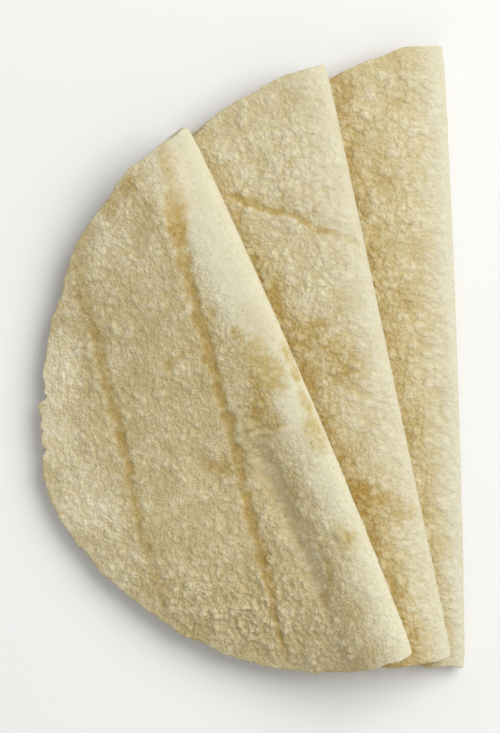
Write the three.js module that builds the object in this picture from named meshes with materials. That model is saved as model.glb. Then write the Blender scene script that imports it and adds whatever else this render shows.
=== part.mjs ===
// Three flour tortillas, each folded in half and laid fanned over the one before it, so that the
// three folds run side by side. Millimetres, +Z up. The stack lies on z = 0, with the origin under
// the middle of its outline.

import * as THREE from "three";

const { degToRad, lerp, smoothstep } = THREE.MathUtils;

const THICKNESS = 1.9; // of the baked dough
const RIM_THICKNESS = 0.9; // of the edge that is pressed thin
const RIM_TAPER = 6; // how far in from the edge the dough thins
const LEAF_GAP = 0.6; // air between the two leaves of one fold
const REST_GAP = 0.9; // air between a folded tortilla and the next one
const EDGE_SHARE = 0.42; // height of a fold's outermost edge, as a share of the fold's height
const FOLD_SEAT = 5; // from that edge in to where the lower leaf lies flat
const DRAPE_START = 6; // inside a covered rim, where the sheet above it begins to come down
const DRAPE_REACH = 50; // how far the sheet takes to come all the way down
const FOLD_CHANGE = 0.6; // share of a fold, about its middle, in which its end values change over
const END_TURN = 6; // degrees of the rim, from each end of the fold, in which the rim draws in

const ROWS = 40; // of facets across each sheet
const COLUMNS = 26; // of facets along the fold
const FOLD_CROWDING = 0.35; // how close the rows stand at the fold, against an even spacing

// From the bottom of the stack to the top. foldTurn is the fold's angle from +Y, anticlockwise.
// In foldHeight, foldRound and leafFall the first value is at the far end of the fold, +Y, the
// second at the near end, where the three lie on each other. foldRound is from the outermost edge
// in to the crest, leafFall from the crest to where the upper leaf lies down, and endTuck how far
// the rim draws in at the end of the fold. Each lobe is a wave in the rim: its order and size.
const TORTILLAS = [
  {
    name: "tortilla_back",
    color: "#d8c89d",
    radius: 99.5,
    lobes: [[2, 0.9], [4, 1]],
    endTuck: [0, 0.2],
    lowerTuck: 1.2, // how far the lower leaf stops short of the upper one
    foldMiddle: [64.3, 0.5],
    foldTurn: 2,
    foldBow: 1, // how far the fold's middle stands out from a line through its ends
    foldHeight: [11, 7.5],
    foldRound: [12, 9],
    leafFall: [64, 60],
  },
  {
    name: "tortilla_middle",
    color: "#d6c598",
    radius: 99.6,
    lobes: [[1, 0.7], [2, -1.2], [4, 0.5]],
    endTuck: [-0.6, 2],
    lowerTuck: -1, // here the lower leaf shows past the upper one
    foldMiddle: [43.2, -2.3],
    foldTurn: 12,
    foldBow: 0.2,
    foldHeight: [11, 8.5],
    foldRound: [12, 9],
    leafFall: [64, 56],
  },
  {
    name: "tortilla_front",
    color: "#c9b786",
    radius: 90.3,
    lobes: [[1, -0.8], [2, 0.8], [3, 0.7], [4, 2], [6, -0.5]],
    endTuck: [-1.8, 0.8],
    lowerTuck: 1.5,
    foldMiddle: [14.75, -10.8],
    foldTurn: 23.1,
    foldBow: 1.8,
    foldHeight: [11, 9.5],
    foldRound: [13, 9],
    leafFall: [58, 50],
    // a valley in the upper leaf beside the fold: its lowest line stands run in from the crest, it
    // fades out past that line, and it starts and is full at those distances along the fold
    valley: { depth: 2.4, run: 12, fade: 40, starts: 8, full: -24 },
  },
];

// A pair of end values read at a distance along the fold from its middle.
function alongFold([far, near], tortilla, along) {
  const reach = FOLD_CHANGE * tortilla.radius;
  return lerp(near, far, smoothstep(along, -reach, reach));
}

// The bend's middle layer, as a quarter of an ellipse above its outermost edge and another below:
// how far each reaches in and up or down, and the length of dough in it.
function bendAt(tortilla, along) {
  const height = alongFold(tortilla.foldHeight, tortilla, along);
  const edge = EDGE_SHARE * height;
  const quarter = (inward, rise) => ({
    inward,
    rise,
    length: (Math.PI / 2) * Math.hypot(inward, rise) * Math.SQRT1_2,
  });
  return {
    edge,
    upper: quarter(alongFold(tortilla.foldRound, tortilla, along), height - THICKNESS / 2 - edge),
    lower: quarter(FOLD_SEAT, edge - THICKNESS / 2),
  };
}

function rimRadius(tortilla, angle) {
  const waved = tortilla.lobes.reduce(
    (radius, [order, size]) => radius + size * Math.cos(order * angle),
    tortilla.radius,
  );
  const [far, near] = tortilla.endTuck;
  const closeTo = (end) => Math.exp(-(((angle - end) / degToRad(END_TURN)) ** 2));
  return waved - far * closeTo(0) - near * closeTo(Math.PI);
}

// How far a valley sinks the upper leaf at a distance in from the crest: ever steeper down to the
// valley's line, then slowly up again.
function valleyDepth(valley, along, run) {
  const depth = valley.depth * (1 - smoothstep(along, valley.full, valley.starts));
  if (run < valley.run) return depth * (run / valley.run) ** 2;
  return depth * (1 - smoothstep(run, valley.run, valley.run + valley.fade));
}

// Height of the upper leaf's middle layer, from the crest down to where it lies on the lower leaf.
function upperLeafHeight(tortilla, along, run) {
  const crest = alongFold(tortilla.foldHeight, tortilla, along) - THICKNESS / 2;
  const lying = 1.5 * THICKNESS + LEAF_GAP;
  const fall = smoothstep(run, 0, alongFold(tortilla.leafFall, tortilla, along));
  const sunk = tortilla.valley ? valleyDepth(tortilla.valley, along, run) : 0;
  return lerp(crest, lying, fall) - sunk;
}

// How far the fold's edge stands out, so that the fold bows between its ends.
function bowAt(tortilla, along) {
  return tortilla.foldBow * (1 - (along / tortilla.radius) ** 2);
}

// Where a point of the flat sheet goes when the sheet is folded, in the fold's own frame: x is
// outward from the fold, y along it. across is positive on the upper leaf, and offset is the
// distance from the middle layer, positive towards the outside of the fold.
function foldedPoint(tortilla, along, across, offset) {
  const bend = bendAt(tortilla, along);
  const half = across > 0 ? bend.upper : bend.lower;
  const run = Math.abs(across) - half.length;
  let inward = half.inward + run;
  let height = THICKNESS / 2 - offset;
  if (run < 0) {
    const angle = (Math.PI / 2) * (across / half.length);
    const normal = new THREE.Vector2(-half.rise * Math.cos(angle), half.inward * Math.sin(angle));
    normal.setLength(offset);
    inward = half.inward * (1 - Math.cos(angle)) + normal.x;
    height = bend.edge + half.rise * Math.sin(angle) + normal.y;
  } else if (across > 0) {
    height = upperLeafHeight(tortilla, along, run) + offset;
  }
  return new THREE.Vector3(bowAt(tortilla, along) - THICKNESS / 2 - inward, along, height);
}

// Room that a folded tortilla takes under the next one at a point of the stack, fading to nothing
// past its rim.
function coverHeight(tortilla, x, y) {
  const turn = degToRad(tortilla.foldTurn);
  const local = new THREE.Vector2(x - tortilla.foldMiddle[0], y - tortilla.foldMiddle[1]);
  local.rotateAround(new THREE.Vector2(), -turn);
  const along = local.y;
  const bend = bendAt(tortilla, along).upper;
  const inward = bowAt(tortilla, along) - THICKNESS / 2 - local.x;
  const run = Math.max(inward - bend.inward, 0);
  const across = run + bend.length;
  const beyond = Math.hypot(along, across) - rimRadius(tortilla, Math.atan2(across, along));
  const top = upperLeafHeight(tortilla, along, run) + THICKNESS / 2 + REST_GAP;
  return top * (1 - smoothstep(beyond, -DRAPE_START, DRAPE_REACH - DRAPE_START));
}

// One folded sheet as a closed skin: an outside, an inside and the rim between them.
function foldedSheet(tortilla, below) {
  const turn = degToRad(tortilla.foldTurn);
  const origin = new THREE.Vector2();
  const positions = [];
  const indices = [];
  const sheetSize = (ROWS + 1) * (COLUMNS + 1);
  const outer = (column, row) => row * (COLUMNS + 1) + column;
  const inner = (column, row) => sheetSize + outer(column, row);

  for (const side of [1, -1]) {
    for (let row = 0; row <= ROWS; row += 1) {
      const even = (2 * row) / ROWS - 1;
      const v = even * (FOLD_CROWDING + (1 - FOLD_CROWDING) * Math.abs(even));
      for (let column = 0; column <= COLUMNS; column += 1) {
        const u = (2 * column) / COLUMNS - 1;
        // a square grid carried onto a disc
        const discAlong = u * Math.sqrt(1 - (v * v) / 2);
        const discAcross = v * Math.sqrt(1 - (u * u) / 2);
        const angle = Math.atan2(Math.abs(discAcross), discAlong);
        const tuck = v < 0 ? tortilla.lowerTuck * Math.sin(angle) : 0;
        const reach = rimRadius(tortilla, angle) - tuck;
        const rimDistance = reach * (1 - Math.hypot(discAlong, discAcross));
        const thickness = lerp(RIM_THICKNESS, THICKNESS, smoothstep(rimDistance, 0, RIM_TAPER));
        const point = foldedPoint(
          tortilla,
          discAlong * reach,
          discAcross * reach,
          (side * thickness) / 2,
        );
        const inStack = new THREE.Vector2(point.x, point.y).rotateAround(origin, turn);
        inStack.x += tortilla.foldMiddle[0];
        inStack.y += tortilla.foldMiddle[1];
        for (const lower of below) point.z += coverHeight(lower, inStack.x, inStack.y);
        positions.push(point.x, point.y, point.z);
      }
    }
  }

  for (let row = 0; row < ROWS; row += 1) {
    for (let column = 0; column < COLUMNS; column += 1) {
      // the diagonal runs towards the rim, so no facet at the rim is flattened
      const rising = (row + 0.5 - ROWS / 2) * (column + 0.5 - COLUMNS / 2) > 0;
      const corners = [
        [column, row],
        [column + 1, row],
        [column + 1, row + 1],
        [column, row + 1],
      ];
      const order = rising ? [0, 1, 2, 0, 2, 3] : [1, 2, 3, 1, 3, 0];
      indices.push(...order.map((corner) => outer(...corners[corner])));
      indices.push(...order.reverse().map((corner) => inner(...corners[corner])));
    }
  }

  const rim = [];
  for (let column = 0; column < COLUMNS; column += 1) rim.push([column, 0]);
  for (let row = 0; row < ROWS; row += 1) rim.push([COLUMNS, row]);
  for (let column = COLUMNS; column > 0; column -= 1) rim.push([column, ROWS]);
  for (let row = ROWS; row > 0; row -= 1) rim.push([0, row]);
  rim.forEach((here, k) => {
    const next = rim[(k + 1) % rim.length];
    indices.push(outer(...next), outer(...here), inner(...here));
    indices.push(outer(...next), inner(...here), inner(...next));
  });

  const geometry = new THREE.BufferGeometry();
  geometry.setAttribute("position", new THREE.Float32BufferAttribute(positions, 3));
  geometry.setIndex(indices);
  geometry.computeVertexNormals();
  return geometry;
}

const stack = new THREE.Group();
stack.name = "tortilla_stack";

TORTILLAS.forEach((tortilla, level) => {
  const material = new THREE.MeshStandardMaterial({
    color: tortilla.color,
    roughness: 0.85,
    metalness: 0,
  });
  const mesh = new THREE.Mesh(foldedSheet(tortilla, TORTILLAS.slice(0, level)), material);
  mesh.name = tortilla.name;
  mesh.position.set(tortilla.foldMiddle[0], tortilla.foldMiddle[1], 0);
  mesh.rotation.z = degToRad(tortilla.foldTurn);
  stack.add(mesh);
});

// the origin goes under the middle of the whole outline
const outline = new THREE.Box3().setFromObject(stack, true);
const middle = outline.getCenter(new THREE.Vector3());
for (const mesh of stack.children) {
  mesh.position.x -= middle.x;
  mesh.position.y -= middle.y;
}

export default stack;
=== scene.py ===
import math

import bpy
import numpy as np
from mathutils.geometry import delaunay_2d_cdt
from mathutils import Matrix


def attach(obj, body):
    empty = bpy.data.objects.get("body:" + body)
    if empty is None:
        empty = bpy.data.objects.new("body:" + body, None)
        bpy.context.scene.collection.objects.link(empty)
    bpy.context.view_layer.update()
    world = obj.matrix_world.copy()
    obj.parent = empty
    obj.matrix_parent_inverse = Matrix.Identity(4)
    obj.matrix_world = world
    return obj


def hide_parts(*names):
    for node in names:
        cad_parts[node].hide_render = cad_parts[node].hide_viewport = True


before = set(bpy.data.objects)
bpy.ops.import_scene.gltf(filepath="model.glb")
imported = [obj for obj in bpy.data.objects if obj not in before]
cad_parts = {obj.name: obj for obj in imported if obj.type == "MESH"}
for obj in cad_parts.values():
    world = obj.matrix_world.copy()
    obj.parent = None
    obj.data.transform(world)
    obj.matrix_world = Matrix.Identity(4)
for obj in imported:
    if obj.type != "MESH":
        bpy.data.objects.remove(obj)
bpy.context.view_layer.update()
mm = 0.001

# The baked sheet, in millimetres, as the solids have it.
dough = {
    "thickness": 1.9,
    "rimThickness": 0.9,
    "rimTaper": 6.0,
    "leafGap": 0.6,
    "restGap": 0.9,
    "edgeShare": 0.42,
    "foldSeat": 5.0,
    "drapeStart": 6.0,
    "drapeReach": 50.0,
    "foldChange": 0.6,
    "endTurn": 6.0,
}

# Crumbs of the rim, finer than the solids have: how many waves go round it, and how fast they get lower.
crumbs = {
    "fewest": 7,
    "most": 90,
    "fade": 0.6,
}

# Spacing of the mesh points, in millimetres: finest where the baked face shows.
grain = {
    "hidden": 1.3,
    "under": 1.4,
    "bend": 1.15,
    "inside": 2.3,
    "span": 112.0,      # half the square that the points are laid over
    "seam": -9.0,       # the fine points reach this far round the fold
    "hiddenFrom": 8.0,  # behind the fold of the next tortilla
    "bendReach": 14.0,  # finer points of the inner face, to either side of the fold
    "rimRoom": 0.6,     # share of a spacing that stays clear beside the rim
    "weld": 1e-5,
    "rimRounds": 3,
}


def smooth(value, low, high):
    share = np.clip((value - low) / (high - low), 0.0, 1.0)
    return share * share * (3.0 - 2.0 * share)


# A size that changes from the near end of the fold to its far end.
def alongFold(pair, tortilla, along):
    far, near = pair
    reach = dough["foldChange"] * tortilla["radius"]
    return near + (far - near) * smooth(along, -reach, reach)


# The bend's two quarter ellipses: how far in and how far up or down each goes from the outer edge.
def bendAt(tortilla, along):
    half = dough["thickness"] / 2.0
    height = alongFold(tortilla["foldHeight"], tortilla, along)
    edge = dough["edgeShare"] * height
    upper = (alongFold(tortilla["foldRound"], tortilla, along), height - half - edge)
    return edge, upper, (dough["foldSeat"], edge - half)


def quarterLength(inward, rise):
    return math.pi / 2.0 * np.hypot(inward, rise) * math.sqrt(0.5)


def rimRadius(tortilla, angle):
    radius = tortilla["radius"] + 0.0 * angle
    for order, size in tortilla["lobes"]:
        radius = radius + size * np.cos(order * angle)
    far, near = tortilla["endTuck"]
    turn = math.radians(dough["endTurn"])
    farTuck = far * np.exp(-((angle / turn) ** 2))
    nearTuck = near * np.exp(-(((math.pi - angle) / turn) ** 2))
    return radius - farTuck - nearTuck


# The rim without its unevenness: angle is negative on the lower leaf.
def plainReach(tortilla, angle):
    tuck = np.where(angle < 0.0, tortilla["lowerTuck"] * np.sin(np.abs(angle)), 0.0)
    return rimRadius(tortilla, np.abs(angle)) - tuck


# The rim with its crumbs and notches, up to where its rounding begins.
def rimReach(tortilla, angle):
    reach = plainReach(tortilla, angle) - dough["rimThickness"] / 2.0
    chance = np.random.default_rng(tortilla["seed"])
    for order in range(crumbs["fewest"], crumbs["most"]):
        size = tortilla["crumble"] / order ** crumbs["fade"]
        reach = reach + size * np.cos(order * angle + chance.uniform(0.0, 2.0 * math.pi))
    for notchAngle, depth, halfWidth in tortilla["notches"]:
        along = (np.abs(angle) - math.radians(notchAngle)) * tortilla["radius"]
        reach = reach - depth * np.exp(-((along / halfWidth) ** 2))
    return reach


# How far inside the rim a point of the flat sheet is.
def insideRim(tortilla, along, across):
    return rimReach(tortilla, np.arctan2(across, along)) - np.hypot(along, across)


def valleyDepth(valley, along, run):
    depth = valley["depth"] * (1.0 - smooth(along, valley["full"], valley["starts"]))
    down = np.minimum(run / valley["run"], 1.0) ** 2
    up = 1.0 - smooth(run, valley["run"], valley["run"] + valley["fade"])
    return depth * np.where(run < valley["run"], down, up)


def upperLeafHeight(tortilla, along, run):
    crest = alongFold(tortilla["foldHeight"], tortilla, along) - dough["thickness"] / 2.0
    lying = 1.5 * dough["thickness"] + dough["leafGap"]
    height = crest + (lying - crest) * smooth(run, 0.0, alongFold(tortilla["leafFall"], tortilla, along))
    if "valley" in tortilla:
        height = height - valleyDepth(tortilla["valley"], along, run)
    return height


def bow(tortilla, along):
    return tortilla["foldBow"] * (1.0 - (along / tortilla["radius"]) ** 2)


# Where a point of the flat sheet lies once folded, in the fold's own frame.
def foldedPoint(tortilla, along, across, offset):
    half = dough["thickness"] / 2.0
    edge, upper, lower = bendAt(tortilla, along)
    inSpan = np.where(across > 0.0, upper[0], lower[0])
    upSpan = np.where(across > 0.0, upper[1], lower[1])
    length = quarterLength(inSpan, upSpan)
    run = np.abs(across) - length
    turned = math.pi / 2.0 * np.clip(across / length, -1.0, 1.0)
    normalIn = -upSpan * np.cos(turned)
    normalUp = inSpan * np.sin(turned)
    share = offset / np.hypot(normalIn, normalUp)
    bentIn = inSpan * (1.0 - np.cos(turned)) + share * normalIn
    bentUp = edge + upSpan * np.sin(turned) + share * normalUp
    leafHeight = upperLeafHeight(tortilla, along, np.maximum(run, 0.0))
    leaf = np.where(across > 0.0, leafHeight + offset, half - offset)
    inward = np.where(run < 0.0, bentIn, inSpan + run)
    return bow(tortilla, along) - half - inward, along, np.where(run < 0.0, bentUp, leaf)


def toStack(tortilla, x, y):
    turn = math.radians(tortilla["foldTurn"])
    middleX, middleY = tortilla["foldMiddle"]
    stackX = middleX + math.cos(turn) * x - math.sin(turn) * y
    return stackX, middleY + math.sin(turn) * x + math.cos(turn) * y


# The middle of the whole plain outline, from every rim and the outer edge of every fold.
def stackMiddle(tortillas):
    rimSteps, foldSteps = 2000, 500
    foldHalf, justAbove = 90.0, 0.001
    found = []
    for tortilla in tortillas:
        angle = np.linspace(-math.pi, math.pi, rimSteps)
        reach = plainReach(tortilla, angle)
        along = np.concatenate([reach * np.cos(angle), np.linspace(-foldHalf, foldHalf, foldSteps)])
        across = np.concatenate([reach * np.sin(angle), np.full(foldSteps, justAbove)])
        thick = np.concatenate([np.zeros(rimSteps), np.full(foldSteps, dough["thickness"] / 2.0)])
        x, y, _ = foldedPoint(tortilla, along, across, thick)
        found.append(np.stack(toStack(tortilla, x, y), 1))
    found = np.concatenate(found)
    return (found.min(axis=0) + found.max(axis=0)) / 2.0


# How far a point of the stack is behind a tortilla's fold, and how far along it.
def behindFold(tortilla, stackX, stackY):
    turn = math.radians(tortilla["foldTurn"])
    x = stackX - tortilla["foldMiddle"][0]
    y = stackY - tortilla["foldMiddle"][1]
    along = -math.sin(turn) * x + math.cos(turn) * y
    outward = math.cos(turn) * x + math.sin(turn) * y
    return bow(tortilla, along) - dough["thickness"] / 2.0 - outward, along


# Room that a folded tortilla takes under the next one, fading away past its rim.
def coverHeight(tortilla, stackX, stackY):
    inward, along = behindFold(tortilla, stackX, stackY)
    _, upper, _ = bendAt(tortilla, along)
    run = np.maximum(inward - upper[0], 0.0)
    across = run + quarterLength(*upper)
    beyond = np.hypot(along, across) - rimRadius(tortilla, np.arctan2(across, along))
    top = upperLeafHeight(tortilla, along, run) + dough["thickness"] / 2.0 + dough["restGap"]
    return top * (1.0 - smooth(beyond, -dough["drapeStart"], dough["drapeReach"] - dough["drapeStart"]))


# Points in equal triangles over the whole sheet.
def lattice(spacing):
    rows = np.arange(-grain["span"], grain["span"], spacing * math.sqrt(0.75))
    columns = np.arange(-grain["span"], grain["span"], spacing)
    along, across = np.meshgrid(columns, rows)
    along = along + (np.arange(len(rows)) % 2)[:, None] * spacing / 2.0
    return along.ravel(), across.ravel()


# Lattice points of the outer face, closest together where they show.
def outerPoints(tortilla, above):
    seam = grain["seam"]
    parts = {"shown": tortilla["grain"], "hidden": grain["hidden"], "under": grain["under"]}
    for part, spacing in parts.items():
        along, across = lattice(spacing)
        hidden = np.full(len(along), -1.0)
        if above:
            x, y, _ = foldedPoint(tortilla, along, across, dough["thickness"] / 2.0)
            hidden = behindFold(above, *toStack(tortilla, x, y))[0] - grain["hiddenFrom"]
        if part == "shown":
            kept = (across > seam) & (hidden < 0.0)
        elif part == "hidden":
            kept = (across > seam) & (hidden > spacing / 2.0)
        else:
            kept = across < seam - spacing / 2.0
        yield spacing, along[kept], across[kept]


def innerPoints():
    along, across = lattice(grain["bend"])
    kept = np.abs(across) < grain["bendReach"]
    yield grain["bend"], along[kept], across[kept]
    along, across = lattice(grain["inside"])
    kept = np.abs(across) > grain["bendReach"] + grain["inside"] / 2.0
    yield grain["inside"], along[kept], across[kept]


# Flat points of one face and their triangles; the first ones are the rim's, in order.
def faceMesh(tortilla, rimAngles, parts):
    reach = rimReach(tortilla, rimAngles)
    found = [np.stack([reach * np.cos(rimAngles), reach * np.sin(rimAngles)], 1)]
    for spacing, along, across in parts:
        kept = insideRim(tortilla, along, across) > grain["rimRoom"] * spacing
        found.append(np.stack([along[kept], across[kept]], 1))
    points = np.concatenate(found)
    outline = [list(range(len(rimAngles)))]
    insideOnly = 1
    _, _, faces, origins, _, _ = delaunay_2d_cdt(points.tolist(), [], outline, insideOnly, grain["weld"])
    back = np.array([origin[0] for origin in origins])
    faces = back[np.array(faces)]
    a, b, c = points[faces[:, 0]], points[faces[:, 1]], points[faces[:, 2]]
    area = (b[:, 0] - a[:, 0]) * (c[:, 1] - a[:, 1]) - (b[:, 1] - a[:, 1]) * (c[:, 0] - a[:, 0])
    return points, np.where(area[:, None] > 0.0, faces, faces[:, ::-1])


def rimAngleList(tortilla):
    shown = int(math.pi * tortilla["radius"] / tortilla["grain"])
    under = int(math.pi * tortilla["radius"] / grain["under"])
    upper = np.linspace(0.0, math.pi, shown, endpoint=False)
    lower = np.linspace(-math.pi, 0.0, under, endpoint=False)
    return np.concatenate([upper, lower])


# The whole folded sheet as one closed mesh, in millimetres, with its flat positions.
def sheetMesh(tortilla, below, above):
    angles = rimAngleList(tortilla)
    count = len(angles)
    outerFlat, outerFaces = faceMesh(tortilla, angles, outerPoints(tortilla, above))
    innerFlat, innerFaces = faceMesh(tortilla, angles, innerPoints())
    flats, offsets, sides = [], [], []
    for points, side in ((outerFlat, 1.0), (innerFlat, -1.0)):
        rise = smooth(insideRim(tortilla, *points.T), 0.0, dough["rimTaper"])
        thick = dough["rimThickness"] + (dough["thickness"] - dough["rimThickness"]) * rise
        flats.append(points)
        offsets.append(side * thick / 2.0)
        sides.append(np.full(len(points), side))
    for ring in range(grain["rimRounds"]):
        turned = math.pi / 2.0 - math.pi * (ring + 1) / (grain["rimRounds"] + 1)
        reach = rimReach(tortilla, angles) + dough["rimThickness"] / 2.0 * math.cos(turned)
        flats.append(np.stack([reach * np.cos(angles), reach * np.sin(angles)], 1))
        offsets.append(np.full(count, dough["rimThickness"] / 2.0 * math.sin(turned)))
        sides.append(np.full(count, 1.0 if turned > -0.01 else -1.0))  # the middle ring counts as outer
    flat = np.concatenate(flats)
    x, y, z = foldedPoint(tortilla, flat[:, 0], flat[:, 1], np.concatenate(offsets))
    x, y = toStack(tortilla, x, y)
    for lower in below:
        z = z + coverHeight(lower, x, y)
    starts = [0] + [len(outerFlat) + len(innerFlat) + count * k for k in range(grain["rimRounds"])]
    starts.append(len(outerFlat))
    here = np.arange(count)
    after = np.roll(here, -1)
    faces = [outerFaces, innerFaces[:, ::-1] + len(outerFlat)]
    for first, second in zip(starts[:-1], starts[1:]):
        faces.append(np.stack([first + after, first + here, second + here], 1))
        faces.append(np.stack([first + after, second + here, second + after], 1))
    return np.stack([x, y, z], 1), np.concatenate(faces), flat, np.concatenate(sides)


# How lines of dough that were pressed or creased stray, widen and weaken along their length, in millimetres
# and shares.
uneven = {
    "octaves": 3,
    "shorter": 1.7,
    "lower": 0.75,
    "height": 0.55,
    "strayLength": 14.0,
    "widthLength": 11.0,
    "widthShare": 0.3,
    "widthRange": (0.5, 1.6),
    "strengthLength": 9.0,
    "strengthMiddle": 0.9,
    "strengthShare": 0.25,
    "strengthRange": (0.3, 1.1),
    "endFade": 4.0,
    "edge": 3.0,
}

# How far each kind of line strays, in millimetres, and where its seeds start.
lineKinds = {
    "stripes": (0.5, 70),
    "creases": (0.4, 70),
    "furrows": (0.3, 70),
    "ridges": (0.3, 60),
}


# Uneven waves along a line, between about -1 and 1.
def waves(distance, chance, longest):
    total = 0.0 * distance
    for octave in range(uneven["octaves"]):
        turn = chance.uniform(0.0, 2.0 * math.pi)
        pace = 2.0 * math.pi * distance * uneven["shorter"] ** octave / longest
        total = total + uneven["height"] * uneven["lower"] ** octave * np.cos(pace + turn)
    return total


# Distance to one side of a bent line, how far along it the nearest point is, and where its points stand.
def besideLine(flat, line):
    nearest = np.full(len(flat), np.inf)
    away = np.zeros(len(flat))
    run = np.zeros(len(flat))
    stops = [0.0]
    for start, end in zip(line[:-1], line[1:]):
        length = math.dist(start, end)
        towards = (end - start) / length
        place = flat - start
        ahead = np.clip(place @ towards, 0.0, length)
        sideways = place[:, 0] * towards[1] - place[:, 1] * towards[0]
        distance = np.hypot(*(place - ahead[:, None] * towards).T)
        closer = distance < nearest
        nearest = np.where(closer, distance, nearest)
        away = np.where(closer, np.copysign(distance, sideways), away)
        run = np.where(closer, stops[-1] + ahead, run)
        stops.append(stops[-1] + length)
    return away, run, stops


# All lines of one kind, 1 where a line is strong. Each point of a line gives its place on the flat sheet,
# half the line's width and its strength.
def lineField(tortilla, kind, flat):
    field = np.zeros(len(flat))
    stray, firstSeed = lineKinds[kind]
    for k, line in enumerate(tortilla[kind]):
        chance = np.random.default_rng(100 * tortilla["seed"] + firstSeed + k)
        points = np.array(line, float)
        away, run, stops = besideLine(flat, points[:, :2])
        away = away - stray * waves(run, chance, uneven["strayLength"])
        wider = 1.0 + uneven["widthShare"] * waves(run, chance, uneven["widthLength"])
        half = np.interp(run, stops, points[:, 2]) * np.clip(wider, *uneven["widthRange"])
        change = uneven["strengthShare"] * waves(run, chance, uneven["strengthLength"])
        stronger = np.clip(uneven["strengthMiddle"] + change, *uneven["strengthRange"])
        strength = np.interp(run, stops, points[:, 3]) * stronger
        fade = min(uneven["endFade"], stops[-1] / 3.0)
        ends = smooth(run, 0.0, fade) * smooth(stops[-1] - run, 0.0, fade)
        field = np.maximum(field, strength * ends * np.exp(-np.abs(away / half) ** uneven["edge"]))
    return field


# Soft ovals on the flat sheet, each with its half lengths, turn and strength.
def ovalField(ovals, flat):
    fade = (0.2, 1.4)
    field = np.zeros(len(flat))
    for place, size, turn, strength in ovals:
        c, s = math.cos(math.radians(turn)), math.sin(math.radians(turn))
        along, across = (flat - np.array(place)).T
        away = np.hypot((c * along + s * across) / size[0], (c * across - s * along) / size[1])
        field = np.maximum(field, strength * (1.0 - smooth(away, *fade)))
    return field


# Toast and painted shade that lie along the fold of the next tortilla, where that fold stands over this one:
# place along that fold, reach and strength.
def toastAndShadeBeside(tortilla, above, points):
    if not above:
        return np.zeros(len(points))
    inward, along = behindFold(above, points[:, 0], points[:, 1])
    stops, reach, strength = np.array(tortilla["toastAndShadeBand"]).T
    outward = -inward / np.interp(along, stops, reach)
    return np.interp(along, stops, strength) * (1.0 - smooth(outward, 0.0, 1.0))


# The pale strip on the fold: 1 up to where it begins to fade, 0 where it ends.
def stripField(tortilla, flat):
    (farStart, farEnd), (nearStart, nearEnd) = tortilla["strip"]
    start = alongFold((farStart, nearStart), tortilla, flat[:, 0])
    end = alongFold((farEnd, nearEnd), tortilla, flat[:, 0])
    return np.clip((end - np.abs(flat[:, 1])) / (end - start), -1.0, 2.0)


# How strongly the relief stands in each place: places in millimetres, the rest as shares.
standing = {
    "nearAlong": (15.0, 65.0),
    "nearAcross": (12.0, 32.0),
    "nearStands": 0.45,
    "bald": 0.82,         # on the pale strip
    "baldLessNear": 0.37,
    "baldAlong": (10.0, 60.0),
    "baldStrip": (0.3, 1.6),
    "bentCalm": 0.7,      # in furrows and on ridges
    "flattenedCalm": 0.75,
    "stripeCalm": 0.35,
    "upperSink": 0.4,     # keeps the blisters near the face of the solid
    "underSink": 1.0,
    "insideSink": 0.7,
    "insideSwell": 0.6,
    "rimSwell": 0.4,
    "rimWidth": 4.0,
}


# The fields that the relief and the material read, at every point of the sheet.
def faceValues(tortilla, above, points, flat, side):
    along, across = flat.T
    outside = side > 0.0
    upper = outside & (across > 0.0)
    nearShare = smooth(-along, *standing["nearAlong"]) * smooth(across, *standing["nearAcross"])
    near = tortilla["nearSwell"] * nearShare
    stripe = lineField(tortilla, "stripes", flat)
    strip = stripField(tortilla, flat)
    furrow = lineField(tortilla, "furrows", flat)
    ridge = lineField(tortilla, "ridges", flat)
    bald = standing["bald"] - standing["baldLessNear"] * smooth(-along, *standing["baldAlong"])
    calm = 1.0 - bald * smooth(strip, *standing["baldStrip"])
    calm = calm * (1.0 - standing["bentCalm"] * np.minimum(furrow + ridge, 1.0))
    calm = calm * (1.0 - standing["flattenedCalm"] * ovalField(tortilla["flattened"], flat))
    calm = calm * (1.0 - standing["stripeCalm"] * np.minimum(stripe, 1.0))
    rimRise = smooth(insideRim(tortilla, along, across), 0.0, standing["rimWidth"])
    rimSwell = standing["rimSwell"] + (1.0 - standing["rimSwell"]) * rimRise
    # Toast patches, some of them partly painted shade, and the toast and painted shade beside the next fold.
    toastAndShade = np.maximum(ovalField(tortilla["toastAndShade"], flat), toastAndShadeBeside(tortilla, above, points))
    lowerSink = np.where(outside, standing["underSink"], standing["insideSink"])
    return {
        "sink": np.where(upper, standing["upperSink"], lowerSink),
        "swell": np.where(outside, 1.0 + near, standing["insideSwell"]) * rimSwell,
        "stripe": stripe,
        "groove": lineField(tortilla, "creases", flat),
        "furrow": (furrow - ridge) * upper,
        "toastAndShade": toastAndShade * upper,
        # Paler patches: partly paler dough, partly painted light.
        "pale": ovalField(tortilla["pale"], flat),
        "calm": calm * (1.0 + standing["nearStands"] * near),
        "strip": strip,
    }


def newObject(name, points, faces):
    mesh = bpy.data.meshes.new(name)
    mesh.from_pydata((points * mm).tolist(), [], faces.tolist())
    mesh.update()
    made = bpy.data.objects.new(name, mesh)
    bpy.context.collection.objects.link(made)
    return made


def addNode(tree, kind, inputs=None, **settings):
    made = tree.nodes.new(kind)
    for key, value in settings.items():
        setattr(made, key, value)
    for key, value in (inputs or {}).items():
        if isinstance(value, bpy.types.NodeSocket):
            tree.links.new(value, made.inputs[key])
        else:
            made.inputs[key].default_value = value
    return made


def calc(tree, operation, *values):
    return addNode(tree, "ShaderNodeMath", dict(enumerate(values)), operation=operation).outputs[0]


def vectorCalc(tree, operation, *values):
    return addNode(tree, "ShaderNodeVectorMath", dict(enumerate(values)), operation=operation).outputs[0]


def scaled(tree, vector, share):
    inputs = {0: vector, "Scale": share}
    return addNode(tree, "ShaderNodeVectorMath", inputs, operation="SCALE").outputs[0]


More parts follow.
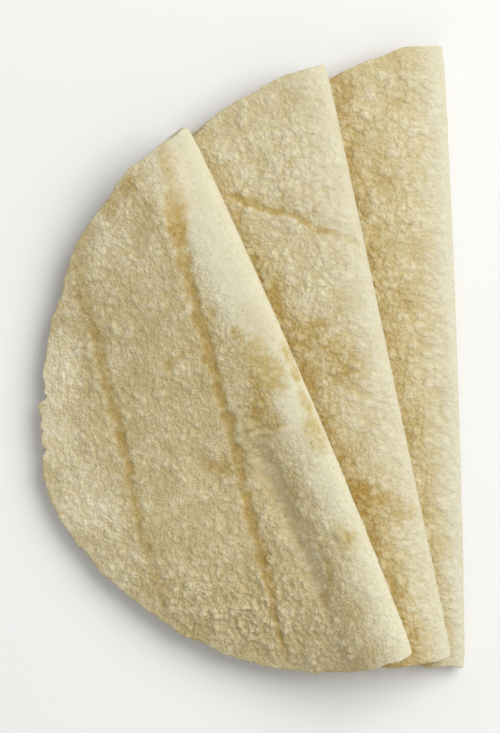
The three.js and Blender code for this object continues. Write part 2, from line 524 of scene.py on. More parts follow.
# A value carried smoothly from 0 to 1 between two limits.
def ramp(tree, value, low, high):
    inputs = {"Value": value, "From Min": low, "From Max": high}
    made = addNode(tree, "ShaderNodeMapRange", inputs, interpolation_type="SMOOTHSTEP")
    return made.outputs["Result"]


def noise(tree, vector, scale, detail=2.0):
    inputs = {"Vector": vector, "Scale": scale, "Detail": detail}
    return addNode(tree, "ShaderNodeTexNoise", inputs).outputs


# Noise that goes as far below 0 as above it.
def evenNoise(tree, vector, scale, detail=2.0):
    return calc(tree, "SUBTRACT", noise(tree, vector, scale, detail)["Fac"], 0.5)


def cells(tree, vector, scale, smoothness):
    inputs = {"Vector": vector, "Scale": scale, "Smoothness": smoothness}
    settings = {"voronoi_dimensions": "2D", "feature": "SMOOTH_F1"}
    return addNode(tree, "ShaderNodeTexVoronoi", inputs, **settings).outputs


# Pebbles with round tops and soft feet, 1 at each top.
def pebbles(tree, found):
    top, foot = 0.05, 0.72
    return calc(tree, "SUBTRACT", 1.0, ramp(tree, found["Distance"], top, foot))


def mixColour(tree, share, first, second, blend="MIX"):
    inputs = {0: share, 6: first, 7: second}
    return addNode(tree, "ShaderNodeMix", inputs, data_type="RGBA", blend_type=blend).outputs[2]


numberSocket = "NodeSocketFloat"
vectorSocket = "NodeSocketVector"
shapeSocket = "NodeSocketGeometry"


def newGroup(name, kind, inputs, outputs):
    tree = bpy.data.node_groups.new(name, kind)
    for title, socket, start in inputs:
        made = tree.interface.new_socket(title, in_out="INPUT", socket_type=socket)
        if start is not None:
            made.default_value = start
    for title, socket in outputs:
        tree.interface.new_socket(title, in_out="OUTPUT", socket_type=socket)
    return tree, tree.nodes.new("NodeGroupInput").outputs, tree.nodes.new("NodeGroupOutput").inputs


# Scales of the blisters' cells and noises, in blisters, and how much each of them counts.
blister = {
    "bendScale": 0.5,
    "bendShare": 0.7,
    "largeScale": 0.8,
    "largeShare": 0.8,
    "largeHeights": (1.1, 0.25),
    "smallScale": 1.35,
    "softness": 0.25,
    "crackScale": 0.6,
    "crackWidth": 0.035,
    "crackedScale": 0.3,
    "crackedRange": (0.42, 0.62),
    "lumpScale": 0.3,
    "roughScale": 1.3,
    "roughShare": 0.5,
    "patchScale": 75.0,  # patches to a metre of dough
    "patchRange": (0.3, 0.7),
    "patchHeights": (0.5, 0.5),
}


# Raises the blisters of the baked dough, and keeps their height and the cracks for the material.
def blisterRelief():
    tree, given, wanted = newGroup(
        "blisterRelief", "GeometryNodeTree",
        (("Geometry", shapeSocket, None),
         ("Material", "NodeSocketMaterial", None),
         ("Blister size", numberSocket, 0.002),
         ("Blister height", numberSocket, 0.0003),
         ("Stretch", numberSocket, 1.0),
         ("Small share", numberSocket, 0.3),
         ("Wrinkle share", numberSocket, 0.3),
         ("Lump share", numberSocket, 0.8),
         ("Press depth", numberSocket, 0.0002),
         ("Crease depth", numberSocket, 0.0003),
         ("Furrow depth", numberSocket, 0.001),
         ("Seed", numberSocket, 0.0)),
        (("Geometry", shapeSocket),))

    def attribute(name, kind="FLOAT"):
        made = addNode(tree, "GeometryNodeInputNamedAttribute", {"Name": name}, data_type=kind)
        return made.outputs["Attribute"]

    flat = attribute("flat", "FLOAT_VECTOR")
    apart = addNode(tree, "ShaderNodeSeparateXYZ", {0: flat}).outputs
    along = calc(tree, "ADD", calc(tree, "DIVIDE", apart["X"], given["Blister size"]), given["Seed"])
    length = calc(tree, "MULTIPLY", given["Blister size"], given["Stretch"])
    across = calc(tree, "DIVIDE", apart["Y"], length)
    laid = addNode(tree, "ShaderNodeCombineXYZ", {"X": along, "Y": across, "Z": given["Seed"]}).outputs[0]
    bend = noise(tree, laid, blister["bendScale"], 1.0)["Color"]
    bend = vectorCalc(tree, "SUBTRACT", bend, (0.5, 0.5, 0.5))
    place = vectorCalc(tree, "ADD", laid, scaled(tree, bend, blister["bendShare"]))

    large = cells(tree, place, blister["largeScale"], blister["softness"])
    chance = addNode(tree, "ShaderNodeSeparateXYZ", {0: large["Color"]}).outputs[0]
    height = calc(tree, "MULTIPLY_ADD", calc(tree, "MULTIPLY", chance, chance), *blister["largeHeights"])
    body = calc(tree, "MULTIPLY", pebbles(tree, large), height)
    small = pebbles(tree, cells(tree, place, blister["smallScale"], blister["softness"]))
    small = calc(tree, "MULTIPLY", small, given["Small share"])

    crossing = calc(tree, "ABSOLUTE", evenNoise(tree, place, blister["crackScale"]))
    crack = calc(tree, "SUBTRACT", 1.0, ramp(tree, crossing, 0.0, blister["crackWidth"]))
    cracked = ramp(tree, noise(tree, laid, blister["crackedScale"])["Fac"], *blister["crackedRange"])
    thin = calc(tree, "MULTIPLY", crack, cracked)
    wrinkle = calc(tree, "MULTIPLY", thin, given["Wrinkle share"])
    lump = calc(tree, "MULTIPLY", evenNoise(tree, laid, blister["lumpScale"], 1.0), given["Lump share"])
    rough = calc(tree, "MULTIPLY", evenNoise(tree, place, blister["roughScale"], 1.0), blister["roughShare"])
    pebble = calc(tree, "SUBTRACT", calc(tree, "MULTIPLY_ADD", body, blister["largeShare"], small), wrinkle)
    pebble = calc(tree, "ADD", pebble, calc(tree, "ADD", lump, rough))

    patchy = ramp(tree, noise(tree, flat, blister["patchScale"])["Fac"], *blister["patchRange"])
    patchy = calc(tree, "MULTIPLY_ADD", patchy, *blister["patchHeights"])
    relief = calc(tree, "MULTIPLY", calc(tree, "MULTIPLY", pebble, patchy), attribute("calm"))
    lift = calc(tree, "SUBTRACT", relief, attribute("sink"))
    lift = calc(tree, "MULTIPLY", calc(tree, "MULTIPLY", lift, given["Blister height"]), attribute("swell"))
    for name, depth in (("stripe", "Press depth"), ("groove", "Crease depth"), ("furrow", "Furrow depth")):
        lift = calc(tree, "SUBTRACT", lift, calc(tree, "MULTIPLY", attribute(name), given[depth]))
    offset = scaled(tree, addNode(tree, "GeometryNodeInputNormal").outputs[0], lift)

    shape = given["Geometry"]
    thin = calc(tree, "MULTIPLY", thin, attribute("calm"))
    stored = (("relief", pebble, "FLOAT"), ("thin", thin, "FLOAT"), ("place", place, "FLOAT_VECTOR"))
    for name, value, kind in stored:
        inputs = {"Geometry": shape, "Name": name, "Value": value}
        shape = addNode(tree, "GeometryNodeStoreNamedAttribute", inputs, data_type=kind).outputs[0]
    shape = addNode(tree, "GeometryNodeSetPosition", {"Geometry": shape, "Offset": offset}).outputs[0]
    shape = addNode(tree, "GeometryNodeRealizeInstances", {"Geometry": shape}).outputs[0]
    inputs = {"Geometry": shape, "Material": given["Material"]}
    shape = addNode(tree, "GeometryNodeSetMaterial", inputs).outputs[0]
    tree.links.new(shape, wanted["Geometry"])
    return tree


# The relief as a plain mesh, its blisters flat where they meet the table.
def withRelief(piece, tree, settings):
    tableGap = 0.03 * mm
    modifier = piece.modifiers.new("blisters", "NODES")
    modifier.node_group = tree
    for item in tree.interface.items_tree:
        if item.in_out == "INPUT" and item.name in settings:
            modifier[item.identifier] = settings[item.name]
    graph = bpy.context.evaluated_depsgraph_get()
    made = bpy.data.meshes.new_from_object(
        piece.evaluated_get(graph), preserve_all_data_layers=True, depsgraph=graph)
    piece.modifiers.clear()
    spots = np.empty(3 * len(made.vertices))
    made.vertices.foreach_get("co", spots)
    spots[2::3] = np.maximum(spots[2::3], tableGap)
    made.vertices.foreach_set("co", spots)
    return made


# Breaks a soft field up into a mask with ragged, speckled edges.
def brokenMask():
    detail, finer = 3.0, 4.5
    coarseShare, fineShare = 1.8, 2.2
    tree, given, wanted = newGroup(
        "brokenMask", "ShaderNodeTree",
        (("Flat", vectorSocket, None), ("Field", numberSocket, 0.0), ("Scale", numberSocket, 300.0),
         ("Ragged", numberSocket, 1.0)),
        (("Mask", numberSocket),))
    coarse = evenNoise(tree, given["Flat"], given["Scale"], detail)
    fine = evenNoise(tree, given["Flat"], calc(tree, "MULTIPLY", given["Scale"], finer), detail)
    ragged = calc(tree, "MULTIPLY_ADD", coarse, coarseShare, calc(tree, "MULTIPLY", fine, fineShare))
    ragged = calc(tree, "MULTIPLY_ADD", ragged, given["Ragged"], 1.0)
    tree.links.new(ramp(tree, calc(tree, "MULTIPLY", given["Field"], ragged), 0.05, 1.0), wanted["Mask"])
    return tree


# Small dark specks, sparse and uneven.
def poreSpecks():
    patchScale, patchShare, edge = 0.13, 0.35, 0.06
    tree, given, wanted = newGroup(
        "poreSpecks", "ShaderNodeTree",
        (("Flat", vectorSocket, None), ("Scale", numberSocket, 600.0), ("Rarity", numberSocket, 0.6)),
        (("Mask", numberSocket),))
    found = noise(tree, given["Flat"], given["Scale"])["Fac"]
    patchy = evenNoise(tree, given["Flat"], calc(tree, "MULTIPLY", given["Scale"], patchScale))
    value = calc(tree, "MULTIPLY_ADD", patchy, patchShare, found)
    top = calc(tree, "ADD", given["Rarity"], edge)
    tree.links.new(ramp(tree, value, given["Rarity"], top), wanted["Mask"])
    return tree


# Pebbles and grain too small for the mesh, as a height.
def doughGrain():
    noiseScale, noiseDetail, softness = 4.0, 3.0, 0.2
    scalesAndShares = ((2.1, 1.0), (4.3, 0.45))
    tree, given, wanted = newGroup(
        "doughGrain", "ShaderNodeTree", (("Flat", vectorSocket, None),), (("Height", numberSocket),))
    height = noise(tree, given["Flat"], noiseScale, noiseDetail)["Fac"]
    for scale, share in scalesAndShares:
        found = pebbles(tree, cells(tree, given["Flat"], scale, softness))
        height = calc(tree, "MULTIPLY_ADD", found, share, height)
    tree.links.new(height, wanted["Height"])
    return tree


# What the three tortillas share: tints that darken the dough, among them painted shade (crease, for the
# hollows, cracks and creases) and toast that also paints shade, and where and how far its colours change.
baked = {
    # Painted shade, with some browner dough, for the hollows between blisters, the cracks and the creases.
    "crease": (0.83, 0.74, 0.5, 1.0),
    # Toast tint, also used for painted shade beside the next fold and in some patches.
    "toastAndShadeTint": (0.77, 0.64, 0.36, 1.0),
    "scorch": (0.79, 0.675, 0.415, 1.0),
    "pit": (0.6, 0.42, 0.26, 1.0),
    "fleck": (0.76, 0.72, 0.5, 1.0),
    "flecks": 0.42,
    "mottleNoise": (95.0, 5.0),
    "mottleRange": (0.36, 0.66),
    "stripNoise": (110.0, 6.0),
    "stripUneven": (0.8, -0.4),
    "stripCovers": 0.6,
    "grainShare": 0.3,
    "lowAndHigh": (-0.1, 0.9),
    "raisedRange": (0.5, 1.2),
    "toastAndShadeLowAndAll": (0.35, 0.72),
    "roughness": 0.72,
    "specular": 0.25,
}

# Marks to a metre of dough, and how ragged or rare they are.
marks = {
    "pale": {"Scale": 150.0},
    "toastAndShade": {"Scale": 170.0, "Ragged": 0.65},
    "stripe": {"Scale": 330.0, "Ragged": 0.7},
    "pores": {"Scale": 1500.0, "Rarity": 0.64},
    "flecks": {"Scale": 850.0, "Rarity": 0.6},
    "pits": {"Scale": 520.0, "Rarity": 0.72},
}


def doughMaterial(name, ownLook, groups):
    look = {**baked, **ownLook}
    material = bpy.data.materials.new(name)
    material.use_nodes = True
    tree = material.node_tree
    shader = tree.nodes["Principled BSDF"]

    def kept(title, output="Fac"):
        return addNode(tree, "ShaderNodeAttribute", attribute_name=title).outputs[output]

    def masked(group, **inputs):
        made = addNode(tree, "ShaderNodeGroup", {"Flat": flat, **inputs}, node_tree=groups[group])
        return made.outputs[0]

    def times(first, second):
        return calc(tree, "MULTIPLY", first, second)

    def darkened(under, share, shade):
        return mixColour(tree, share, under, look[shade], "MULTIPLY")

    flat, place = kept("flat", "Vector"), kept("place", "Vector")
    mottle = ramp(tree, noise(tree, flat, *look["mottleNoise"])["Fac"], *look["mottleRange"])
    colour = mixColour(tree, mottle, look["cream"], look["wheat"])
    ragged = calc(tree, "MULTIPLY_ADD", noise(tree, flat, *look["stripNoise"])["Fac"], *look["stripUneven"])
    strip = ramp(tree, calc(tree, "ADD", kept("strip"), ragged), 0.0, 1.0)
    colour = mixColour(tree, strip, colour, look["strip"])
    # Paler patches: partly paler dough, partly painted light where the sheet tilts away from the lamp.
    colour = mixColour(tree, masked("broken", Field=kept("pale"), **marks["pale"]), colour, look["pale"])
    bare = calc(tree, "MULTIPLY_ADD", strip, -look["stripCovers"], 1.0)
    fine = masked("grain", Flat=place)
    # Blister tops made paler and hollows darker by height: partly dough tone, partly painted highlight on the
    # tops and painted shade in the hollows.
    level = calc(tree, "MULTIPLY_ADD", calc(tree, "SUBTRACT", fine, 1.0), look["grainShare"], kept("relief"))
    low = calc(tree, "SUBTRACT", 1.0, ramp(tree, level, *look["lowAndHigh"]))
    raised = times(ramp(tree, level, *look["raisedRange"]), times(bare, look["raised"]))
    colour = mixColour(tree, raised, colour, look["pale"])
    colour = darkened(colour, times(times(low, bare), look["valley"]), "crease")
    # Cracks and creases darkened with the crease tint: partly browner dough, partly painted shade in them.
    lines = calc(tree, "MAXIMUM", times(kept("thin"), bare), kept("groove"))
    colour = darkened(colour, times(lines, look["thin"]), "crease")
    # Toast tint, stronger in the hollows as painted shade: toast patches, and painted shade beside the next
    # fold and in some patches.
    toastAndShade = masked("broken", Field=kept("toastAndShade"), **marks["toastAndShade"])
    toastAndShade = times(toastAndShade, calc(tree, "MULTIPLY_ADD", low, *look["toastAndShadeLowAndAll"]))
    colour = darkened(colour, toastAndShade, "toastAndShadeTint")
    colour = darkened(colour, masked("broken", Field=kept("stripe"), **marks["stripe"]), "scorch")
    pores = times(masked("specks", **marks["pores"]), look["pores"])
    colour = darkened(colour, times(pores, bare), "pore")
    colour = darkened(colour, times(masked("specks", **marks["flecks"]), look["flecks"]), "fleck")
    colour = darkened(colour, times(masked("specks", **marks["pits"]), look["pits"]), "pit")
    tree.links.new(colour, shader.inputs["Base Color"])
    shader.inputs["Roughness"].default_value = look["roughness"]
    shader.inputs["Specular IOR Level"].default_value = look["specular"]
    inputs = {"Height": times(fine, kept("calm")), "Strength": 1.0, "Distance": look["grainHeight"]}
    bump = addNode(tree, "ShaderNodeBump", inputs)
    tree.links.new(bump.outputs[0], shader.inputs["Normal"])
    return material


# Each tortilla: its size and fold in millimetres and degrees, as the solid has them, then its own marks.
# Places of marks are along and across the flat sheet, from the middle of the fold. A notch gives its angle
# round the rim, depth and half width.
back = {
    "name": "backTortilla",
    "node": "tortilla_back",
    "slot": "dough_back",
    "radius": 99.5,
    "lobes": ((2, 0.9), (4, 1.0)),
    "endTuck": (0.0, 0.2),
    "lowerTuck": 1.2,
    "foldMiddle": (64.3, 0.5),
    "foldTurn": 2.0,
    "foldBow": 1.0,
    "foldHeight": (11.0, 7.5),
    "foldRound": (12.0, 9.0),
    "leafFall": (64.0, 60.0),
    "seed": 3,
    "crumble": 0.3,
    "notches": ((7.5, -0.9, 5.0),),
    "strip": ((4.0, 16.0), (3.0, 14.0)),
    "grain": 0.4,
    "nearSwell": 0.0,
    "relief": {
        "Blister size": 0.0025, "Blister height": 0.00062, "Stretch": 1.2,
        "Small share": 0.45, "Wrinkle share": 0.35,
        "Lump share": 1.8, "Press depth": 0.0, "Crease depth": 0.0003, "Seed": 3.1,
    },
    "stripes": (),
    "creases": (),
    "furrows": (),
    "ridges": (),
    "toastAndShade": (
        ((58.0, 24.5), (14.0, 7.0), 10.0, 0.4),
        ((40.0, 23.0), (12.0, 7.0), 20.0, 0.35),
        ((19.0, 19.0), (12.0, 7.0), 20.0, 0.55),
        ((-16.0, 18.0), (10.0, 7.0), 20.0, 0.5),
        ((9.0, 8.0), (9.0, 4.0), 10.0, 0.25),
        ((84.0, 19.0), (8.0, 6.0), 0.0, 0.25),
        ((-14.0, 8.0), (14.0, 5.0), 0.0, 0.25),
    ),
    # Toast along the next tortilla's fold, partly painted shade where that fold stands over this one.
    "toastAndShadeBand": (
        (-95.0, 8.0, 0.5), (-60.0, 12.0, 0.45), (-20.0, 15.0, 0.55), (0.0, 15.0, 0.6), (20.0, 15.0, 0.6),
        (40.0, 15.0, 0.65), (60.0, 14.0, 0.7), (95.0, 14.0, 0.7),
    ),
    "flattened": (),
    "pale": (),
    "look": {
        "cream": (0.72, 0.64, 0.42, 1.0),
        "wheat": (0.65, 0.56, 0.34, 1.0),
        "strip": (0.665, 0.637, 0.492, 1.0),
        "pale": (0.75, 0.7, 0.5, 1.0),
        "pore": (0.5, 0.41, 0.28, 1.0),
        "valley": 0.6,
        "raised": 0.35,
        "thin": 0.5,
        "pores": 0.3,
        "pits": 0.4,
        "grainHeight": 0.00012,
    },
}
middle = {
    "name": "middleTortilla",
    "node": "tortilla_middle",
    "slot": "dough_middle",
    "radius": 99.6,
    "lobes": ((1, 0.7), (2, -1.2), (4, 0.5)),
    "endTuck": (-0.6, 2.0),
    "lowerTuck": -1.0,
    "foldMiddle": (43.2, -2.3),
    "foldTurn": 12.0,
    "foldBow": 0.2,
    "foldHeight": (11.0, 8.5),
    "foldRound": (12.0, 9.0),
    "leafFall": (64.0, 56.0),
    "seed": 5,
    "crumble": 0.3,
    "notches": ((0.0, 1.0, 3.0), (9.0, -0.8, 6.0), (180.0, 0.6, 2.0)),
    "strip": ((5.0, 17.0), (3.0, 12.0)),
    "grain": 0.41,
    "nearSwell": 0.0,
    "relief": {
        "Blister size": 0.0025, "Blister height": 0.0006, "Stretch": 1.2,
        "Small share": 0.45, "Wrinkle share": 0.35,
        "Lump share": 1.8, "Press depth": 0.0003, "Crease depth": 0.0003, "Seed": 7.7,
    },
    "stripes": (
        ((66.5, 43.0, 1.6, 1.0), (64.5, 40.5, 1.6, 1.1), (61.5, 36.5, 1.6, 1.1), (58.5, 32.5, 1.6, 1.1),
         (56.5, 27.5, 1.3, 0.9), (55.0, 23.5, 1.3, 0.9), (52.0, 20.5, 1.3, 0.85), (48.5, 16.5, 1.5, 0.9),
         (46.0, 13.0, 1.4, 0.65), (43.5, 9.5, 1.4, 0.55), (40.0, 3.5, 1.4, 0.5), (38.5, 0.0, 1.3, 0.4)),
        ((93.5, 17.5, 1.6, 0.45), (90.0, 11.5, 1.6, 0.5), (85.5, 4.0, 1.6, 0.45)),
        ((-29.0, 23.0, 3.0, 0.4), (-36.0, 21.5, 4.5, 0.75), (-41.0, 19.5, 4.5, 0.6),
         (-47.0, 18.5, 4.0, 0.5), (-56.0, 16.0, 3.5, 0.35)),
    ),
    "creases": (),
    "furrows": (),
    "ridges": (
        ((66.0, 26.0, 3.0, 0.4), (56.0, 15.5, 3.2, 0.6), (51.5, 10.0, 3.0, 0.6), (44.0, 3.0, 2.5, 0.4)),
    ),
    "toastAndShade": (
        ((13.0, 27.5), (9.0, 8.0), 0.0, 0.75),
        ((16.0, 22.5), (5.0, 5.0), 0.0, 0.9),
        ((9.0, 19.5), (8.0, 9.0), -20.0, 0.78),
        ((2.0, 16.5), (8.0, 8.0), -25.0, 0.83),
        ((-41.0, 15.5), (8.0, 5.5), 60.0, 0.9),
        ((-46.0, 9.5), (9.0, 4.5), 58.0, 0.65),
        ((-38.5, 19.5), (8.0, 5.5), 30.0, 1.7),
        ((-72.0, 8.0), (20.0, 8.0), 0.0, 0.2),
    ),
    # Toast along the next tortilla's fold, partly painted shade where that fold stands over this one.
    "toastAndShadeBand": (
        (-90.0, 9.5, 0.85), (-62.0, 13.0, 0.9), (-45.0, 16.0, 1.05), (-31.0, 15.0, 0.95),
        (-13.0, 12.0, 0.8), (3.0, 17.0, 0.9), (15.0, 20.0, 0.9), (30.0, 17.0, 0.9), (49.0, 14.0, 0.65),
        (72.0, 13.0, 0.5), (95.0, 11.0, 0.45),
    ),
    "flattened": (),
    "pale": (),
    "look": {
        "cream": (0.74, 0.67, 0.465, 1.0),
        "wheat": (0.68, 0.603, 0.397, 1.0),
        "strip": (0.66, 0.622, 0.457, 1.0),
        "pale": (0.75, 0.7, 0.5, 1.0),
        "pore": (0.5, 0.41, 0.28, 1.0),
        "valley": 0.55,
        "raised": 0.35,
        "thin": 0.5,
        "pores": 0.3,
        "pits": 0.4,
        "grainHeight": 0.00012,
    },
}
front = {
    "name": "frontTortilla",
    "node": "tortilla_front",
    "slot": "dough_front",
    "radius": 90.3,
    "lobes": ((1, -0.8), (2, 0.8), (3, 0.7), (4, 2.0), (6, -0.5)),
    "endTuck": (-1.8, 0.8),
    "lowerTuck": 1.5,
    "foldMiddle": (14.75, -10.8),
    "foldTurn": 23.1,
    "foldBow": 1.8,
    "foldHeight": (11.0, 9.5),
    "foldRound": (13.0, 9.0),
    "leafFall": (58.0, 50.0),
    "valley": {"depth": 2.4, "run": 12.0, "fade": 40.0, "starts": 8.0, "full": -24.0},
    "seed": 8,
    "crumble": 0.3,
    "notches": (
        (23.5, 0.9, 4.5), (46.0, 1.0, 4.0), (52.0, -0.4, 4.0), (66.9, 1.4, 2.6), (69.0, 2.3, 1.3),
        (75.0, 1.0, 6.0), (73.4, 0.5, 0.8), (76.2, 0.9, 0.8), (80.1, 2.1, 1.6), (87.0, -0.8, 5.0),
        (104.0, 0.9, 4.0), (130.0, -1.0, 6.0), (0.0, 1.0, 2.2), (180.0, 0.8, 1.8),
    ),
    "strip": ((15.0, 23.5), (6.0, 16.5)),
    "grain": 0.48,
    "nearSwell": 0.75,
    "relief": {
        "Blister size": 0.0021, "Blister height": 0.00058, "Stretch": 1.1,
        "Small share": 0.45, "Wrinkle share": 0.3,
        "Lump share": 2.0, "Press depth": 0.0004, "Crease depth": 0.0003, "Seed": 2.9,
    },
    "stripes": (
        ((76.0, 15.8, 2.8, 0.2), (70.0, 17.3, 3.2, 0.35), (63.5, 19.3, 3.4, 0.65),
         (53.5, 21.8, 2.4, 1.05), (43.0, 23.5, 1.9, 1.1), (29.0, 25.5, 2.1, 1.4), (13.0, 28.0, 2.0, 1.3),
         (3.0, 29.0, 1.9, 1.1), (-5.0, 30.0, 1.8, 0.8), (-12.0, 31.0, 2.1, 1.5), (-19.5, 32.5, 1.5, 0.6),
         (-26.5, 34.0, 2.0, 1.4), (-36.5, 35.0, 2.0, 0.95), (-46.5, 36.0, 2.1, 1.1),
         (-56.5, 37.5, 1.6, 0.95), (-68.0, 40.0, 1.2, 0.8), (-79.0, 41.0, 1.0, 0.6)),
        ((62.0, 56.0, 3.4, 0.3), (51.0, 57.0, 2.8, 0.5), (41.0, 58.0, 2.3, 0.75),
         (27.0, 61.0, 2.0, 0.85), (17.0, 62.0, 1.9, 0.9), (3.0, 64.5, 1.8, 0.95), (-8.5, 66.5, 1.8, 0.8),
         (-26.0, 70.0, 1.9, 0.65), (-38.5, 70.5, 1.9, 0.55), (-49.5, 72.0, 1.7, 0.45)),
        ((16.0, 45.5, 1.6, 0.4), (21.5, 42.5, 1.8, 0.55), (25.0, 40.0, 1.8, 0.65), (26.5, 35.0, 1.8, 0.6),
         (26.5, 26.5, 1.4, 0.5)),
        ((35.0, 22.5, 1.4, 0.55), (34.0, 17.0, 1.4, 0.5)),
        ((-6.0, 44.5, 2.6, 0.65), (-11.5, 38.5, 3.0, 0.75), (-15.5, 31.5, 2.6, 0.8)),
        ((-68.0, 24.5, 1.2, 0.7), (-65.0, 23.0, 1.3, 0.75), (-61.0, 20.0, 1.2, 0.5),
         (-55.5, 16.5, 1.3, 0.65), (-50.5, 17.5, 1.0, 0.3), (-45.5, 18.5, 1.2, 0.4), (-41.0, 19.0, 1.0, 0.3)),
    ),
    "creases": (
        ((-56.5, 37.6, 0.5, 0.8), (-81.0, 41.2, 0.5, 0.8)),
        ((-4.8, 28.0, 0.8, 1.5), (-5.1, 23.0, 0.8, 1.6), (-6.2, 17.5, 0.7, 1.3), (-8.4, 10.0, 0.6, 0.8)),
        ((-26.5, 54.5, 0.5, 0.7), (-35.0, 58.5, 0.5, 0.7)),
        ((75.5, 25.5, 0.4, 0.7), (70.5, 24.0, 0.4, 0.7), (65.5, 23.0, 0.4, 0.6)),
    ),
    "furrows": (
        ((-9.5, 21.0, 2.0, 0.9), (-15.0, 23.5, 3.0, 1.1), (-21.0, 23.3, 3.5, 1.1), (-29.0, 23.3, 3.6, 1.0),
         (-36.0, 23.2, 3.6, 0.95), (-45.5, 22.7, 3.5, 0.85), (-58.0, 22.5, 3.4, 0.75),
         (-68.0, 24.0, 3.0, 0.6)),
    ),
    "ridges": (
        ((-1.8, 29.5, 1.3, 1.0), (-2.8, 27.0, 1.3, 1.1), (-3.6, 21.5, 1.2, 0.9)),
        ((-10.5, 29.5, 1.3, 1.0), (-7.5, 28.0, 1.3, 1.1), (-6.8, 23.0, 1.1, 1.0), (-8.0, 17.5, 1.1, 0.8),
         (-10.0, 9.0, 1.1, 0.5)),
    ),
    # Toast patches; some, beside the head of the furrow, are partly painted shade.
    "toastAndShade": (
        ((86.0, 14.0), (14.0, 3.4), -12.0, 0.5),
        ((68.0, 18.3), (12.0, 4.4), -16.0, 1.15),
        ((60.0, 56.3), (15.0, 4.2), -5.0, 0.5),
        ((17.0, 14.0), (10.0, 6.0), 10.0, 0.9),
        ((25.0, 15.5), (4.0, 3.0), 0.0, 0.8),
        ((9.0, 13.0), (9.0, 7.0), 5.0, 0.95),
        ((1.0, 18.0), (8.0, 6.0), -20.0, 0.85),
        ((-5.0, 15.5), (7.0, 5.0), -20.0, 0.55),
        ((20.0, 9.0), (20.0, 8.0), 10.0, 0.3),
        ((13.0, 4.0), (6.0, 2.6), 0.0, 0.95),
        ((6.5, 4.0), (4.0, 2.6), 0.0, 1.1),
        ((-4.0, 5.0), (7.0, 3.0), 0.0, 0.75),
        ((-14.0, 6.0), (9.0, 4.5), 0.0, 0.75),
        ((-48.0, 9.0), (5.0, 3.5), 20.0, 0.75),
        ((-52.5, 9.5), (6.0, 3.5), -20.0, 0.5),
        ((84.0, 26.5), (7.0, 4.0), -50.0, 0.65),
        ((79.0, 36.0), (5.0, 3.5), -30.0, 0.55),
        ((74.0, 31.5), (7.0, 4.0), 10.0, 0.35),
    ),
    "toastAndShadeBand": (),
    "flattened": (((72.0, 17.0), (16.0, 4.0), -14.0, 1.0),),
    # Paler patches: partly paler dough, partly painted light that brightens places where the sheet tilts away
    # from the lamp.
    "pale": (
        ((73.0, 17.0), (20.0, 6.0), -14.0, 1.3),
        ((36.0, 74.0), (16.0, 8.0), -30.0, 1.3),
        ((17.0, 83.0), (14.0, 8.0), -15.0, 1.1),
        ((-6.0, 82.0), (20.0, 13.0), 0.0, 0.8),
        ((-30.0, 80.0), (14.0, 8.0), -20.0, 0.5),
        ((70.0, 40.0), (20.0, 10.0), -40.0, 0.6),
        ((56.0, 33.0), (18.0, 10.0), -10.0, 0.35),
        ((58.0, 58.0), (16.0, 8.0), -20.0, 0.45),
        ((85.0, 22.0), (10.0, 9.0), 0.0, 0.7),
    ),
    "look": {
        "cream": (0.64, 0.552, 0.337, 1.0),
        "wheat": (0.58, 0.492, 0.282, 1.0),
        "strip": (0.705, 0.668, 0.488, 1.0),
        "pale": (0.8, 0.73, 0.52, 1.0),
        "pore": (0.45, 0.36, 0.24, 1.0),
        "valley": 0.5,
        "raised": 0.28,
        "thin": 0.45,
        "pores": 0.4,
        "pits": 0.6,
        "grainHeight": 0.00014,
    },
}
stack = (back, middle, front)


def nextAbove(level):
    return stack[level + 1] if level + 1 < len(stack) else None


sheets = []
for level, tortilla in enumerate(stack):
    sheets.append(sheetMesh(tortilla, stack[:level], nextAbove(level)))
low = np.min([points.min(axis=0) for points, _, _, _ in sheets], axis=0)
high = np.max([points.max(axis=0) for points, _, _, _ in sheets], axis=0)
shift = np.array([*stackMiddle(stack), 0.0])
print("sheets folded, stack", (high - low).round(1).tolist(), "mm about", shift.round(2).tolist())

reliefTree = blisterRelief()
groups = {"broken": brokenMask(), "specks": poreSpecks(), "grain": doughGrain()}
for level, (tortilla, (points, faces, flat, side)) in enumerate(zip(stack, sheets)):
    piece = newObject(tortilla["name"], points - shift, faces)
    mesh = piece.data
    mesh.polygons.foreach_set("use_smooth", [True] * len(mesh.polygons))
    for name, value in faceValues(tortilla, nextAbove(level), points, flat, side).items():
        mesh.attributes.new(name, "FLOAT", "POINT").data.foreach_set("value", value)
    places = np.column_stack([flat * mm, np.zeros(len(flat))])
    mesh.attributes.new("flat", "FLOAT_VECTOR", "POINT").data.foreach_set("vector", places.ravel())
    material = doughMaterial(tortilla["slot"], tortilla["look"], groups)
    made = withRelief(piece, reliefTree, {**tortilla["relief"], "Material": material})
    piece.data = made
    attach(piece, "root")
    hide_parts(tortilla["node"])
    print(tortilla["name"], len(made.vertices), "points", len(made.polygons), "triangles")

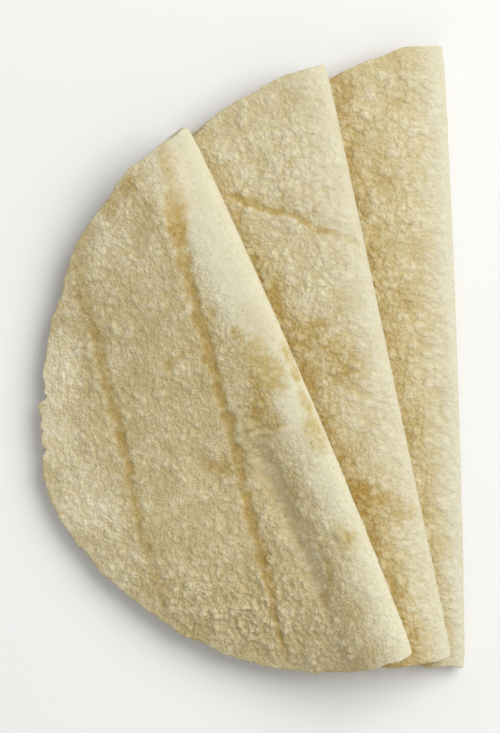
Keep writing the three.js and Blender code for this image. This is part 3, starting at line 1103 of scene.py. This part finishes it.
# A pale table under the stack, a soft lamp from the upper right and even light all round.
stage = {
    "tableColour": (0.9, 0.9, 0.89, 1.0),
    "tableRoughness": 0.9,
    "tableHalf": 2000.0,
    "lampSize": 1.5,
    "lampPower": 20.5,
    "lampAzimuth": 32.0,
    "lampElevation": 47.0,
    "lampDistance": 1.6,
    "worldColour": (1.0, 0.99, 0.97, 1.0),
    "worldStrength": 0.53,
    "cameraHeight": 2.0,
    "viewHeight": 0.2391,
    "viewMiddle": (-0.00055, -0.00255),
}
corners = stage["tableHalf"] * np.array([[-1, -1, 0], [1, -1, 0], [1, 1, 0], [-1, 1, 0]], float)
table = newObject("table", corners, np.array([[0, 1, 2, 3]]))
tableMaterial = bpy.data.materials.new("paleTable")
tableMaterial.use_nodes = True
tableShader = tableMaterial.node_tree.nodes["Principled BSDF"]
tableShader.inputs["Base Color"].default_value = stage["tableColour"]
tableShader.inputs["Roughness"].default_value = stage["tableRoughness"]
table.data.materials.append(tableMaterial)

lamp = bpy.data.lights.new("softLamp", "AREA")
lamp.shape = "DISK"
lamp.size = stage["lampSize"]
lamp.energy = stage["lampPower"]
lampObject = bpy.data.objects.new("softLamp", lamp)
azimuth, elevation = math.radians(stage["lampAzimuth"]), math.radians(stage["lampElevation"])
lampObject.location = (
    stage["lampDistance"] * math.cos(elevation) * math.cos(azimuth),
    stage["lampDistance"] * math.cos(elevation) * math.sin(azimuth),
    stage["lampDistance"] * math.sin(elevation),
)
lampObject.rotation_euler = (math.pi / 2.0 - elevation, 0.0, azimuth + math.pi / 2.0)
bpy.context.collection.objects.link(lampObject)

world = bpy.data.worlds.new("evenLight")
world.use_nodes = True
background = world.node_tree.nodes["Background"]
background.inputs["Color"].default_value = stage["worldColour"]
background.inputs["Strength"].default_value = stage["worldStrength"]
bpy.context.scene.world = world
bpy.context.scene.view_settings.view_transform = "Standard"

camera = bpy.data.cameras.new("camera")
camera.lens = camera.sensor_width * stage["cameraHeight"] / stage["viewHeight"]
cameraObject = bpy.data.objects.new("camera", camera)
cameraObject.location = (*stage["viewMiddle"], stage["cameraHeight"])
bpy.context.collection.objects.link(cameraObject)
bpy.context.scene.camera = cameraObject
print("table, light and camera placed")
